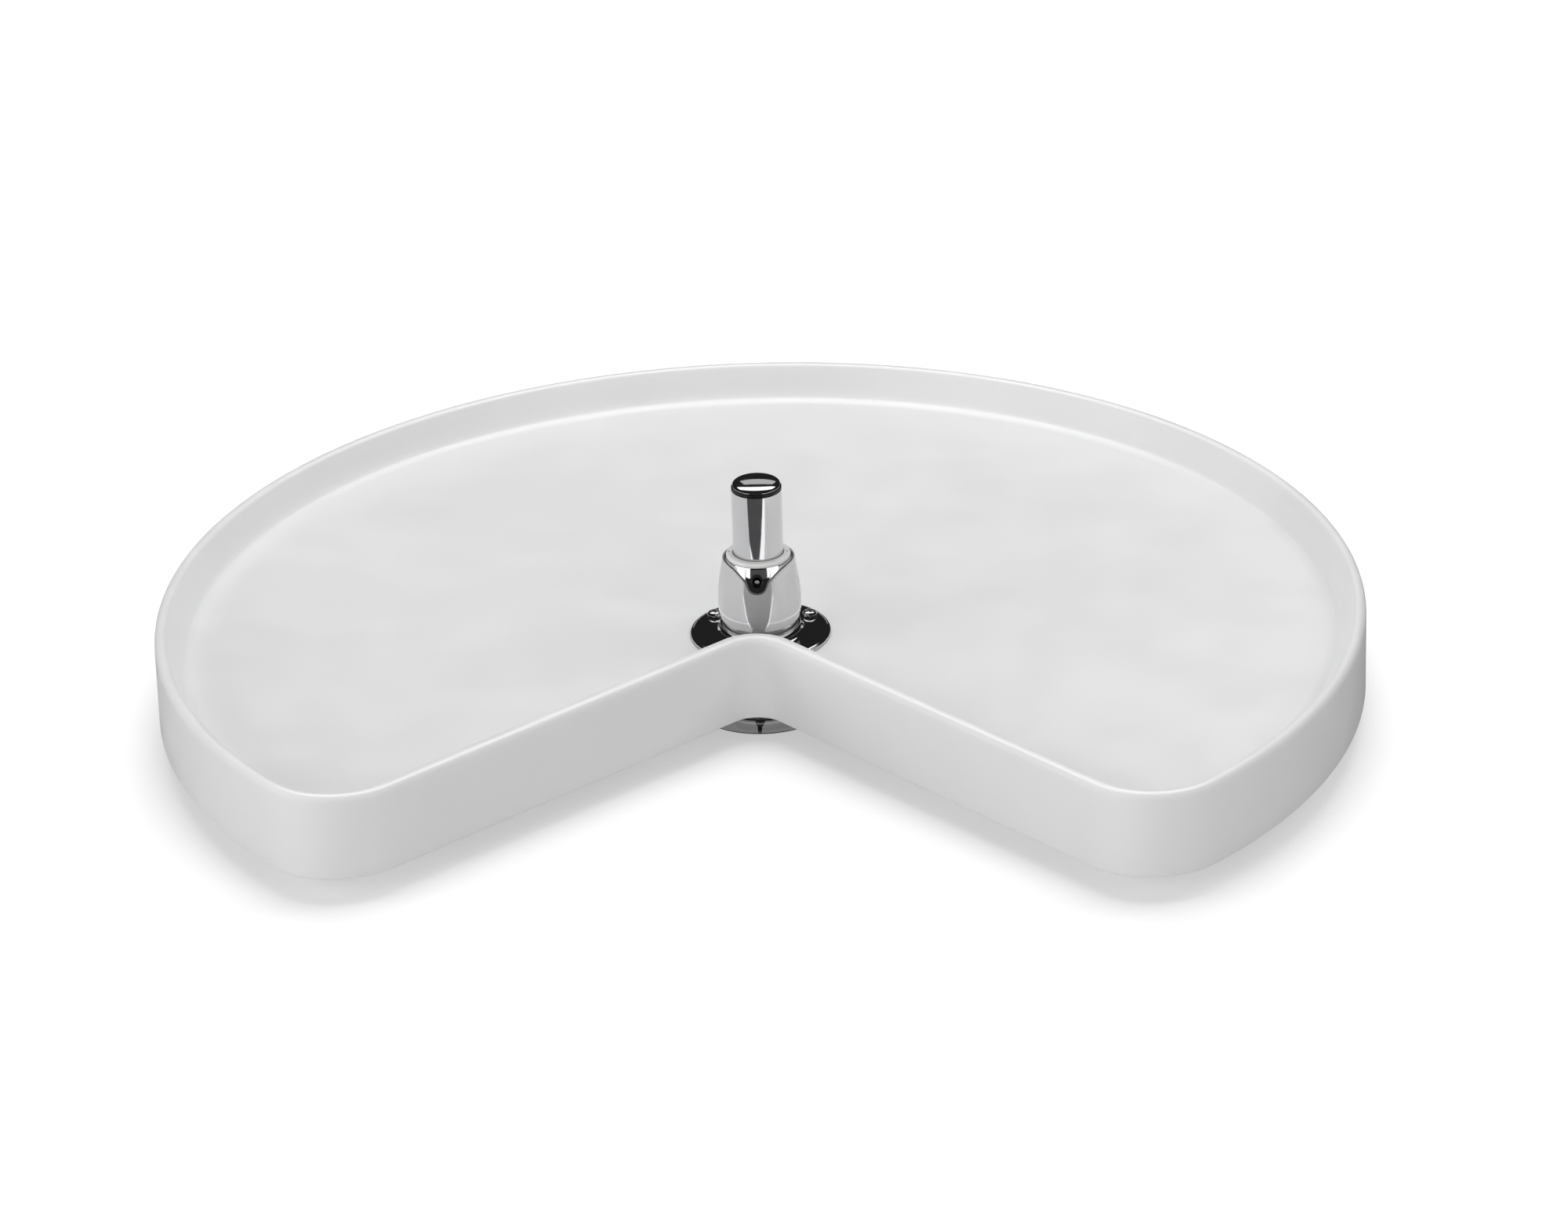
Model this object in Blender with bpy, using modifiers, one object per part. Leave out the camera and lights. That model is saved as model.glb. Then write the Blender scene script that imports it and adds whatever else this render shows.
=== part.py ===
"""Corner-cabinet lazy susan: a kidney-shaped tray clamped to a post that turns on a ball-bearing foot.

The origin is on the post's axis at the underside of the foot. +X is the tray's long side, -Y faces the
notch for the cabinet door, +Z is up. Lengths below are in millimetres and are scaled by MM.
"""

from math import atan2, cos, pi, radians, sin, sqrt

import bmesh
import bpy
from mathutils import Matrix, Vector
from mathutils.geometry import interpolate_bezier

MM = 0.001
GAP = 0.3                      # clearance left where two pieces touch

# Tray
TRAY_R = 304.8                 # 24 in diameter
TRAY_BOTTOM = 14.0
TRAY_HEIGHT = 44.4
NOTCH_HALF_ANGLE = radians(45)
NOTCH_FRONT = 36.94            # where the two notch edges would meet, in front of the axis
APEX_R = 14.99                 # fillet at the bottom of the notch
CORNER_R = 40.4                # rounded tips of the two arms
SKIRT = 2.6                    # wall of the outer skirt
FLOOR_TOP = 26.7               # above the tray's bottom edge
FLOOR_THICK = 3.0
HUB_HOLE_R = 16.5
SEAT_R = 35.8                  # shallow recess in the floor that the flange sits in
SEAT_DEPTH = 0.2
SCREW_HOLE_R = 2.4
RIB_THICK = 1.8
RIB_RISE = 2.0                 # ribs stop this far above the skirt's edge
RIB_ROOT = 0.8                 # ribs run this far into the floor
RIB_RINGS = (152.0, 228.0)
HUB_WALL_R = 41.0
RIB_COUNT = 32                 # spokes in a full turn; every other one starts at the first ring

# Post
POST_R = 12.7                  # 1 in tube
POST_WALL = 1.65
POST_BOTTOM = 23.3
POST_TOP = 121.0
PLUG_RIM = 1.1                 # height of the plug's rim above the tube's end
PLUG_DEPTH = 13.3
STEM_R = 3.0
STEM_LENGTH = 10.0
CAP_R = 12.2
CAP_TOP = 126.0

# Foot and bearing
FOOT_R = 35.5
FOOT_THICK = 4.5
BALL_R = 2.38                  # 3/16 in balls
BALL_COUNT = 12
BALL_PITCH_R = 21.0
RACE_TOP = 6.8
GROOVE = 0.9                   # depth of the race's groove
STUD_R = 5.0
SOCKET_R = 16.5
SOCKET_TOP = 34.0
PIN_R = 1.6
PIN_Z = 29.0
MOUNT_HOLE_R = 2.2
MOUNT_HOLE_PITCH_R = 29.5

# Hub on the shelf
FLANGE_R = 35.5
FLANGE_TOP = 43.0
SCREW_PITCH_R = 29.0
SCREW_ANGLES = (33.5, 146.5, 270.0)
SCREW_HEAD_R = 3.75
BUSH_R = 16.3
BUSH_BOTTOM = 50.0
BUSH_TOP = 86.5
COLLAR_TOP = 84.3
COLLAR_BOTTOM = 68.1
CLAMP_Z = 77.0
CLAMP_R = 2.5
CLAMP_FACE = 18.0              # the clamp screw's outer end, from the axis

BALL_Z = RACE_TOP - GROOVE + GAP + BALL_R
FOOT_PLATE_Z = 2 * BALL_Z - RACE_TOP           # underside of the turning plate
SEAT_Z = TRAY_BOTTOM + FLOOR_TOP - SEAT_DEPTH
FLANGE_UNDER = SEAT_Z + GAP
FLOOR_UNDER = TRAY_BOTTOM + FLOOR_TOP - FLOOR_THICK

# The tray's section as (height, inset on the round side, inset at the notch), insets from the outline.
LIP_AND_BOWL = (
    (0.0, 0.0, 0.0),
    (TRAY_HEIGHT - 3.3, 0.0, 0.0),
    (TRAY_HEIGHT - 0.9, 1.2, 1.2),
    (TRAY_HEIGHT, 3.3, 3.8),
    (TRAY_HEIGHT - 0.9, 5.7, 7.0),
    (TRAY_HEIGHT - 3.9, 7.6, 8.4),
    (34.6, 10.2, 8.2),
    (29.1, 14.6, 7.4),
    (FLOOR_TOP, 20.5, 7.2),
)
UNDERSIDE = (
    (FLOOR_TOP - FLOOR_THICK, 18.0, 5.4),
    (27.2, 11.2, 4.7),
    (39.6, 5.0, 5.0),
    (39.6, SKIRT, SKIRT),
    (0.0, SKIRT, SKIRT),
)


def clear_scene():
    for old in list(bpy.data.objects):
        bpy.data.objects.remove(old, do_unlink=True)
    for old in list(bpy.data.collections):
        bpy.data.collections.remove(old)


def new_collection(name):
    group = bpy.data.collections.new(name)
    bpy.context.scene.collection.children.link(group)
    return group


def new_material(name, colour, roughness, metallic=0.0):
    made = bpy.data.materials.new(name)
    made.use_nodes = True
    shader = made.node_tree.nodes["Principled BSDF"]
    shader.inputs["Base Color"].default_value = (*colour, 1.0)
    shader.inputs["Roughness"].default_value = roughness
    shader.inputs["Metallic"].default_value = metallic
    return made


def add_object(name, mesh, group, material=None):
    made = bpy.data.objects.new(name, mesh)
    group.objects.link(made)
    if material:
        mesh.materials.clear()
        mesh.materials.append(material)
    else:
        made.hide_render = True
        made.display_type = "WIRE"
    return made


def smooth(mesh, angle=40):
    mesh.shade_smooth()
    mesh.set_sharp_from_angle(angle=radians(angle))


def frozen(made):
    """The object's evaluated shape becomes its own mesh, with its modifiers gone."""
    bpy.context.view_layer.update()
    seen = made.evaluated_get(bpy.context.evaluated_depsgraph_get())
    mesh = bpy.data.meshes.new_from_object(seen)
    mesh.name = made.name
    made.modifiers.clear()
    made.data = mesh
    return made


def turned(name, profile, group, material=None, segments=32, closed=True):
    """A profile of (radius, height) points swept round the Z axis.

    The points run down the outside first. A closed profile comes back up its inner side; an open one
    starts and ends on the axis.
    """
    mesh = bpy.data.meshes.new(name)
    points = [(r * MM, 0, z * MM) for r, z in profile]
    count = len(points)
    edges = [(i, (i + 1) % count) for i in range(count if closed else count - 1)]
    mesh.from_pydata(points, edges, [])
    made = add_object(name, mesh, group, material)
    sweep = made.modifiers.new("sweep", "SCREW")
    sweep.steps = segments
    sweep.render_steps = segments
    sweep.use_merge_vertices = True
    sweep.merge_threshold = 0.00001
    frozen(made)
    smooth(made.data)
    return made


def cylinder(name, radius, low, high, group, material=None, segments=24, top_radius=None):
    """An upright cylinder or cone from height low to height high, centred on its own origin's axis."""
    grid = bmesh.new()
    bmesh.ops.create_cone(
        grid, cap_ends=True, segments=segments, radius1=radius * MM,
        radius2=(radius if top_radius is None else top_radius) * MM, depth=(high - low) * MM,
    )
    bmesh.ops.translate(grid, verts=grid.verts, vec=(0, 0, (low + high) / 2 * MM))
    mesh = bpy.data.meshes.new(name)
    grid.to_mesh(mesh)
    grid.free()
    smooth(mesh)
    return add_object(name, mesh, group, material)


def box(name, size, centre, group, material=None):
    grid = bmesh.new()
    bmesh.ops.create_cube(grid, size=1)
    bmesh.ops.scale(grid, verts=grid.verts, vec=Vector(size) * MM)
    bmesh.ops.translate(grid, verts=grid.verts, vec=Vector(centre) * MM)
    mesh = bpy.data.meshes.new(name)
    grid.to_mesh(mesh)
    grid.free()
    return add_object(name, mesh, group, material)


def boolean(made, tool, operation="DIFFERENCE"):
    step = made.modifiers.new(f"{operation.lower()}_{tool.name}", "BOOLEAN")
    step.operation = operation
    step.solver = "EXACT"
    step.object = tool
    return made


def around_axis(made, radius, angle):
    """Stands a piece at this radius and angle round the post."""
    made.location = (radius * cos(radians(angle)) * MM, radius * sin(radians(angle)) * MM, 0)
    made.rotation_euler = (0, 0, radians(angle))
    return made


def corner_centre():
    """Centre of the rounded tip of the right arm."""
    across = Vector((cos(NOTCH_HALF_ANGLE), sin(NOTCH_HALF_ANGLE)))
    along = Vector((sin(NOTCH_HALF_ANGLE), -cos(NOTCH_HALF_ANGLE)))
    offset = CORNER_R - NOTCH_FRONT * sin(NOTCH_HALF_ANGLE)
    reach = sqrt((TRAY_R - CORNER_R) ** 2 - offset**2)
    return across * offset + along * reach


def arc(centre, radius, start, end, steps):
    """Points and outward normals along an arc, the start left out."""
    found = []
    for i in range(1, steps + 1):
        angle = start + (end - start) * i / steps
        way = Vector((cos(angle), sin(angle)))
        found.append((centre + way * radius, way))
    return found


def half_outline():
    """The right half of the tray's outline from the notch's middle round to the back.

    Each entry is (point, normal out of the tray, share of the round side's section).
    """
    apex = Vector((0, -NOTCH_FRONT - APEX_R / sin(NOTCH_HALF_ANGLE)))
    tip = corner_centre()
    apex_end = pi / 2 - NOTCH_HALF_ANGLE
    entries = [(apex + Vector((0, APEX_R)), Vector((0, -1)), 0.0)]
    entries += [(p, -n, 0.0) for p, n in arc(apex, APEX_R, pi / 2, apex_end, 3)]
    edge_normal = -Vector((cos(apex_end), sin(apex_end)))
    edge_start = entries[-1][0]
    edge_end = tip + edge_normal * CORNER_R
    for i in range(1, 5):
        entries.append((edge_start.lerp(edge_end, i / 4), edge_normal, 0.0))
    tip_turn = atan2(tip.y, tip.x)
    rounded = arc(tip, CORNER_R, apex_end - pi, tip_turn, 6)
    for i, (p, n) in enumerate(rounded, 1):
        share = i / len(rounded)
        entries.append((p, n, share * share * (3 - 2 * share)))
    centre = Vector((0, 0))
    entries += [(p, n, 1.0) for p, n in arc(centre, TRAY_R, tip_turn, 0, 8)]
    entries += [(p, n, 1.0) for p, n in arc(centre, TRAY_R, 0, pi / 2, 18)]
    return entries


def full_outline():
    right = half_outline()
    flip = Vector((-1, 1))
    left = [(p * flip, n * flip, share) for p, n, share in reversed(right[1:-1])]
    return right + left


def tray_ring(outline, height, round_inset, notch_inset):
    ring = []
    for point, normal, share in outline:
        inset = notch_inset + (round_inset - notch_inset) * share
        spot = point - normal * inset
        ring.append((spot.x * MM, spot.y * MM, (TRAY_BOTTOM + height) * MM))
    return ring


def round_ring(outline, radius, height):
    """A circle round the hub, with one point in line with each point of the outline."""
    ring = []
    for point, _, _ in outline:
        spot = point.normalized() * radius
        ring.append((spot.x * MM, spot.y * MM, (TRAY_BOTTOM + height) * MM))
    return ring


def lofted(name, rings, group, material=None, closed=True):
    """Faces between successive rings of points; a closed loft joins the last ring to the first."""
    grid = bmesh.new()
    loops = [[grid.verts.new(p) for p in ring] for ring in rings]
    count = len(loops[0])
    pairs = list(zip(loops, loops[1:] + loops[:1])) if closed else list(zip(loops, loops[1:]))
    for low, high in pairs:
        for i in range(count):
            j = (i + 1) % count
            grid.faces.new((low[i], low[j], high[j], high[i]))
    if not closed:
        grid.faces.new(list(reversed(loops[0])))
        grid.faces.new(loops[-1])
    bmesh.ops.recalc_face_normals(grid, faces=grid.faces)
    mesh = bpy.data.meshes.new(name)
    grid.to_mesh(mesh)
    grid.free()
    smooth(mesh, 30)
    return add_object(name, mesh, group, material)


def tray_ribs(outline, cutters):
    """Rings and spokes under the tray, trimmed to its outline."""
    low = TRAY_BOTTOM + RIB_RISE
    high = FLOOR_UNDER + RIB_ROOT
    walls = [HUB_WALL_R + RIB_THICK, *[r + RIB_THICK for r in RIB_RINGS]]
    rings = None
    for i, outer in enumerate(walls):
        profile = [(outer, high), (outer, low), (outer - RIB_THICK, low), (outer - RIB_THICK, high)]
        ring = turned(f"rib_ring_{i + 1}", profile, cutters, segments=32 if i == 0 else 48)
        if rings is None:
            rings = ring
        else:
            boolean(rings, ring, "UNION")
    spokes = bmesh.new()
    for i in range(RIB_COUNT):
        start = HUB_WALL_R + RIB_THICK / 2 if i % 2 == 0 else RIB_RINGS[0] + RIB_THICK / 2
        length = TRAY_R - start
        place = Matrix.Rotation(radians(90 + 360 / RIB_COUNT * (i + 0.5)), 4, "Z")
        place @= Matrix.Translation(Vector((start + length / 2, 0, (low + high) / 2)) * MM)
        place @= Matrix.Diagonal((length * MM, RIB_THICK * MM, (high - low - 2 * GAP) * MM, 1))
        bmesh.ops.create_cube(spokes, size=1, matrix=place)
    mesh = bpy.data.meshes.new("rib_spokes")
    spokes.to_mesh(mesh)
    spokes.free()
    spokes = add_object("rib_spokes", mesh, cutters)
    boolean(rings, spokes, "UNION")
    trim_rings = [tray_ring(outline, z - TRAY_BOTTOM, SKIRT / 2, SKIRT / 2) for z in (low - 1, high + 1)]
    trim = lofted("rib_trim", trim_rings, cutters, closed=False)
    boolean(rings, trim, "INTERSECT")
    return frozen(rings)


def shelf_tray(parts, cutters, material):
    outline = full_outline()
    rings = [round_ring(outline, HUB_HOLE_R, FLOOR_TOP - FLOOR_THICK)]
    rings += [tray_ring(outline, *level) for level in UNDERSIDE]
    rings += [tray_ring(outline, *level) for level in LIP_AND_BOWL]
    rings.append(round_ring(outline, SEAT_R, FLOOR_TOP))
    rings.append(round_ring(outline, SEAT_R, FLOOR_TOP - SEAT_DEPTH))
    rings.append(round_ring(outline, HUB_HOLE_R, FLOOR_TOP - SEAT_DEPTH))
    tray = lofted("shelf_tray", rings, parts, material)
    boolean(tray, tray_ribs(outline, cutters), "UNION")
    for i, angle in enumerate(SCREW_ANGLES, 1):
        name = f"tray_screw_hole_{i}"
        hole = cylinder(name, SCREW_HOLE_R, FLOOR_UNDER - 5, FLANGE_UNDER + 5, cutters, segments=16)
        boolean(tray, around_axis(hole, SCREW_PITCH_R, angle))
    return tray


def foot_disc(parts, cutters, material):
    """The fixed chrome disc that is screwed to the cabinet floor."""
    profile = [
        (0, FOOT_THICK), (27, FOOT_THICK), (31, 3.6), (34, 2.5), (FOOT_R, 1.6),
        (FOOT_R, 0), (0, 0),
    ]
    plate = turned("base_plate", profile, parts, material, segments=36, closed=False)
    boolean(plate, cylinder("stud_seat", STUD_R + GAP, 1.5, 9, cutters))
    for i in range(4):
        angle = 45 + 90 * i
        bore = MOUNT_HOLE_R
        sunk = [(0, 7), (bore + 5, 7), (bore, 2), (bore, -1), (0, -1)]
        hole = turned(f"mount_hole_{i + 1}", sunk, cutters, segments=16, closed=False)
        boolean(plate, around_axis(hole, MOUNT_HOLE_PITCH_R, angle))
    return plate


def groove_points(surface, side):
    """Section of the ball groove in a race: side is -1 below the balls and +1 above them."""
    deep = surface + side * GROOVE
    section = ((1.9, surface), (0.9, deep), (-0.9, deep), (-1.9, surface))
    return [(BALL_PITCH_R + off, z) for off, z in section]


def lower_race(parts, material):
    under = FOOT_THICK + GAP
    profile = [(26.5, RACE_TOP), (26.5, under), (15.0, under), (15.0, RACE_TOP)]
    profile += list(reversed(groove_points(RACE_TOP, -1)))
    return turned("lower_race", profile, parts, material)


def pivot_stud(parts, material):
    """Steel stud pressed into the foot; a clip groove near its top."""
    collar = FOOT_THICK + GAP
    profile = [
        (0, 22.6), (4.4, 22.6), (STUD_R, 22.0), (STUD_R, 21.6), (3.9, 21.6), (3.9, 20.2), (STUD_R, 20.2),
        (STUD_R, 7.2), (9.0, 7.2), (9.0, collar), (STUD_R, collar), (STUD_R, 1.8), (0, 1.8),
    ]
    return turned("pivot_stud", profile, parts, material, segments=32, closed=False)


def retaining_clip(parts, cutters, material):
    profile = [(7.4, 21.3), (7.4, 20.5), (4.2, 20.5), (4.2, 21.3)]
    clip = turned("retaining_clip", profile, parts, material, segments=32)
    boolean(clip, box("clip_mouth", (12, 5.6, 4), (6, 0, 20.9), cutters))
    return clip


def ball_cage(parts, cutters, material):
    profile = [(25.3, BALL_Z + 0.9), (25.3, BALL_Z - 0.9), (16.4, BALL_Z - 0.9), (16.4, BALL_Z + 0.9)]
    cage = turned("ball_cage", profile, parts, material)
    for i in range(BALL_COUNT):
        name = f"ball_pocket_{i + 1}"
        pocket = cylinder(name, BALL_R + GAP, BALL_Z - 3, BALL_Z + 3, cutters, segments=16)
        boolean(cage, around_axis(pocket, BALL_PITCH_R, 360 / BALL_COUNT * (i + 0.5)))
    return cage


def bearing_balls(parts, material):
    grid = bmesh.new()
    bmesh.ops.create_icosphere(grid, subdivisions=2, radius=BALL_R * MM)
    mesh = bpy.data.meshes.new("ball")
    grid.to_mesh(mesh)
    grid.free()
    mesh.shade_smooth()
    for i in range(BALL_COUNT):
        ball = add_object(f"bearing_ball_{i + 1}", mesh, parts, material)
        around_axis(ball, BALL_PITCH_R, 360 / BALL_COUNT * (i + 0.5))
        ball.location.z = BALL_Z * MM


def cross_pin_hole(name, radius, length, cutters):
    """A horizontal round cutter along X through the post at the pin's height."""
    hole = cylinder(name, radius, -length / 2, length / 2, cutters, segments=16)
    hole.rotation_euler = (0, pi / 2, 0)
    hole.location = (0, 0, PIN_Z * MM)
    return hole


def post_foot(parts, cutters, material):
    """Turning plate with the upper race under it and the socket for the tube above it."""
    under = FOOT_PLATE_Z
    profile = [
        (SOCKET_R, SOCKET_TOP), (SOCKET_R, 15.0), (18.5, 13.4), (27.5, 13.2), (28.0, 12.7), (28.0, under),
        *groove_points(under, 1),
        (8.0, under), (8.0, 19.2), (10.6, 19.2), (10.6, POST_BOTTOM - GAP),
        (POST_R + GAP, POST_BOTTOM - GAP), (POST_R + GAP, SOCKET_TOP),
    ]
    foot = turned("post_foot", profile, parts, material)
    return boolean(foot, cross_pin_hole("foot_pin_hole", PIN_R + GAP, 60, cutters))


def pivot_bush(parts, material):
    profile = [(7.7, 18.9), (7.7, 10.7), (STUD_R + 0.2, 10.7), (STUD_R + 0.2, 18.9)]
    return turned("pivot_bush", profile, parts, material, segments=32)


def foot_pin(parts, material):
    pin = cylinder("foot_pin", PIN_R, -SOCKET_R + 0.2, SOCKET_R - 0.2, parts, material, segments=16)
    pin.rotation_euler = (0, pi / 2, 0)
    pin.location = (0, 0, PIN_Z * MM)
    return pin


def post_tube(parts, cutters, material):
    inner = POST_R - POST_WALL
    profile = [
        (inner, POST_TOP), (POST_R - 0.3, POST_TOP), (POST_R, POST_TOP - 0.3), (POST_R, POST_BOTTOM),
        (inner, POST_BOTTOM),
    ]
    tube = turned("post_tube", profile, parts, material, segments=36)
    return boolean(tube, cross_pin_hole("tube_pin_hole", PIN_R + GAP, 60, cutters))


def cap_plug(parts, material):
    """Black plug in the tube's end, whose rim shows as a dark band under the cap."""
    inner = POST_R - POST_WALL
    seat = POST_TOP + GAP
    top = seat + PLUG_RIM
    low = seat - PLUG_DEPTH
    bore = STEM_R + GAP
    profile = [
        (bore, top), (POST_R - 0.25, top), (POST_R + 0.05, top - 0.3), (POST_R + 0.05, seat),
        (inner - 0.4, seat), (inner - 0.4, low + 0.8), (inner - 1.2, low), (bore, low),
    ]
    return turned("cap_plug", profile, parts, material, segments=36)


def post_cap(parts, material):
    """Chrome dome whose stem snaps into the plug."""
    rim = POST_TOP + PLUG_RIM + 2 * GAP
    edge = 0.55
    rise = CAP_TOP - rim - edge
    dome = []
    for i in range(7):
        turn = radians(90 - 14 * i)
        dome.append((CAP_R * cos(turn), rim + edge + rise * sin(turn)))
    low = rim - STEM_LENGTH
    profile = [
        *dome, (CAP_R, rim + edge - 0.15), (CAP_R - 0.35, rim), (STEM_R, rim), (STEM_R, low + 1),
        (STEM_R - 0.6, low), (0, low),
    ]
    return turned("post_cap", profile, parts, material, segments=36, closed=False)


def shelf_flange(parts, cutters, material):
    """Round plate with the raised neck that carries the hub, screwed on top of the tray."""
    under = FLANGE_UNDER
    bore = POST_R + 0.5
    profile = [
        (20.1, 47.6), (20.5, 47.1), (20.6, 45.2), (21.5, 43.7), (23.4, FLANGE_TOP), (34.6, FLANGE_TOP),
        (FLANGE_R, 42.2), (FLANGE_R, under),
        (bore, under), (bore, 45.0), (18.7, 45.0), (18.9, 47.6),
    ]
    flange = turned("shelf_flange", profile, parts, material, segments=36)
    for i, angle in enumerate(SCREW_ANGLES, 1):
        hole = cylinder(f"flange_hole_{i}", 2.3, under - 3, FLANGE_TOP + 3, cutters, segments=16)
        boolean(flange, around_axis(hole, SCREW_PITCH_R, angle))
    return flange


def backing_flange(parts, cutters, material):
    """Steel ring under the tray's floor that the flange screws bite into."""
    top = FLOOR_UNDER - GAP
    profile = [(35.0, top), (35.0, top - 2.2), (HUB_HOLE_R, top - 2.2), (HUB_HOLE_R, top)]
    ring = turned("backing_flange", profile, parts, material)
    for i, angle in enumerate(SCREW_ANGLES, 1):
        hole = cylinder(f"backing_hole_{i}", 2.3, top - 5, top + 3, cutters, segments=16)
        boolean(ring, around_axis(hole, SCREW_PITCH_R, angle))
    return ring


def lower_bush(parts, material):
    """White nylon guide round the tube under the tray."""
    bore = POST_R + 0.25
    ledge = FLOOR_UNDER - GAP - 2.2 - GAP
    profile = [
        (HUB_HOLE_R - 0.4, FLANGE_UNDER - GAP), (HUB_HOLE_R - 0.4, ledge), (19.0, ledge), (19.0, ledge - 0.5),
        (bore, ledge - 0.5), (bore, FLANGE_UNDER - GAP),
    ]
    return turned("lower_bush", profile, parts, material)


def flange_screws(parts, cutters, material):
    """Pan-head screws with a cross recess, shank down."""
    seat = FLANGE_TOP + GAP
    for i, angle in enumerate(SCREW_ANGLES, 1):
        profile = [
            (0, seat + 2.3), (1.6, seat + 2.2), (2.9, seat + 1.7), (SCREW_HEAD_R, seat + 0.8),
            (SCREW_HEAD_R, seat), (2.0, seat), (2.0, FLOOR_UNDER - 3.6), (1.2, FLOOR_UNDER - 4.6),
            (0, FLOOR_UNDER - 4.6),
        ]
        screw = turned(f"flange_screw_{i}", profile, parts, material, segments=20, closed=False)
        around_axis(screw, SCREW_PITCH_R, angle)
        for j, size in enumerate(((4.2, 0.9, 2.6), (0.9, 4.2, 2.6)), 1):
            slot = box(f"flange_recess_{i}_{j}", size, (0, 0, seat + 2.3), cutters)
            around_axis(slot, SCREW_PITCH_R, angle)
            boolean(screw, slot)


def hub_bush(parts, cutters, material):
    """White nylon sleeve between the clamp collar and the tube, slit at the back so that it can close."""
    bore = POST_R + 0.2
    profile = [
        (bore + 0.3, BUSH_TOP), (14.6, BUSH_TOP), (15.8, BUSH_TOP - 0.5), (BUSH_R, BUSH_TOP - 1.4),
        (BUSH_R, BUSH_BOTTOM), (bore, BUSH_BOTTOM), (bore, BUSH_TOP - 0.3),
    ]
    bush = turned("hub_bush", profile, parts, material, segments=36)
    boolean(bush, box("bush_slit", (1.4, 8, 60), (0, 14.6, 75), cutters))
    for i, side in enumerate((-1, 1), 1):
        pip = cylinder(f"bush_dimple_{i}", 0.7, BUSH_TOP - 0.8, BUSH_TOP + 1, cutters, segments=12)
        pip.location.x = side * 14.5 * MM
        boolean(bush, pip)
    return boolean(bush, clamp_hole("bush_clamp_hole", cutters))


def clamp_hole(name, cutters):
    hole = cylinder(name, CLAMP_R + GAP, 8, 30, cutters, segments=20)
    hole.rotation_euler = (pi / 2, 0, 0)
    hole.location = (0, 0, CLAMP_Z * MM)
    return hole


def clamp_collar(parts, cutters, material):
    bore = BUSH_R + GAP
    profile = [
        (bore + 0.1, COLLAR_TOP), (16.95, COLLAR_TOP - 0.1), (17.1, COLLAR_TOP - 0.6), (18.75, 72.5),
        (18.95, 70.3), (19.0, COLLAR_BOTTOM), (bore, COLLAR_BOTTOM), (bore, COLLAR_TOP - 0.2),
    ]
    collar = turned("clamp_collar", profile, parts, material, segments=36)
    return boolean(collar, clamp_hole("collar_clamp_hole", cutters))


def clamp_screw(parts, cutters, material):
    """Socket grub screw through the collar that bears on the tube; its axis points to the front."""
    screw = cylinder("clamp_screw", CLAMP_R, POST_R + GAP, CLAMP_FACE, parts, material, segments=24)
    socket = cylinder("clamp_socket", 1.45, CLAMP_FACE - 2.5, CLAMP_FACE + 1, cutters, segments=6)
    for piece in (screw, socket):
        piece.rotation_euler = (pi / 2, 0, 0)
        piece.location = (0, 0, CLAMP_Z * MM)
    return boolean(screw, socket)


SHROUD_OUTER = (
    (18.15, 83.5), (19.35, 77.0), (20.35, 70.5), (20.9, 64.0), (21.0, 58.0), (20.6, 54.2), (19.3, 50.1),
    (17.4, 47.0), (16.4, 45.3),
)
SHROUD_INNER = (
    (15.0, 45.9), (18.2, 51.5), (19.6, 57.0), (19.6, 64.4), (16.7, 65.4), (16.7, 67.8), (19.45, 67.8),
    (19.35, 70.5), (18.45, 77.0), (17.45, 83.5),
)


def notch_outline():
    """Half of the shroud's swept opening as (x, z), seen from the front, from its side to its bottom."""
    knots = (
        ((19.0, 83.6), (15.6, 83.4), (14.4, 83.0), (12.6, 82.2)),
        ((12.6, 82.2), (10.6, 81.0), (9.2, 79.8), (7.2, 78.2)),
        ((7.2, 78.2), (5.6, 76.8), (5.6, 75.6), (4.7, 73.6)),
        ((4.7, 73.6), (3.9, 71.8), (2.4, 70.9), (0.0, 70.9)),
    )
    points = []
    for a, b, c, d in knots:
        points += [tuple(p) for p in interpolate_bezier(Vector(a), Vector(b), Vector(c), Vector(d), 5)[:-1]]
    return [*points, (0.0, 70.9)]


def shroud_notch(cutters):
    """A prism towards the front whose lower side is the swept opening."""
    half = notch_outline()
    edge = half + [(-x, z) for x, z in reversed(half[:-1])]
    outline = [*edge, (-19.0, 95.0), (19.0, 95.0)]
    rings = [[(x * MM, y * MM, z * MM) for x, z in outline] for y in (-30.0, 0.5)]
    return lofted("shroud_notch", rings, cutters, closed=False)


def hub_shroud(parts, cutters, material):
    """Bell-shaped cover over the clamp, cut away at the front for the screwdriver."""
    shroud = turned("hub_shroud", [*SHROUD_OUTER, *SHROUD_INNER], parts, material, segments=36)
    return boolean(shroud, shroud_notch(cutters))


def make_materials():
    return {
        "tray": new_material("white_plastic", (0.86, 0.86, 0.86), 0.38),
        "chrome": new_material("chrome", (0.78, 0.78, 0.79), 0.06, 1.0),
        "steel": new_material("bright_steel", (0.55, 0.55, 0.56), 0.28, 1.0),
        "satin": new_material("satin_silver", (0.72, 0.72, 0.73), 0.3, 0.85),
        "nylon": new_material("white_nylon", (0.84, 0.84, 0.82), 0.45),
        "black": new_material("black_plastic", (0.015, 0.015, 0.015), 0.4),
        "oxide": new_material("black_oxide", (0.03, 0.03, 0.03), 0.3, 1.0),
    }


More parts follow.
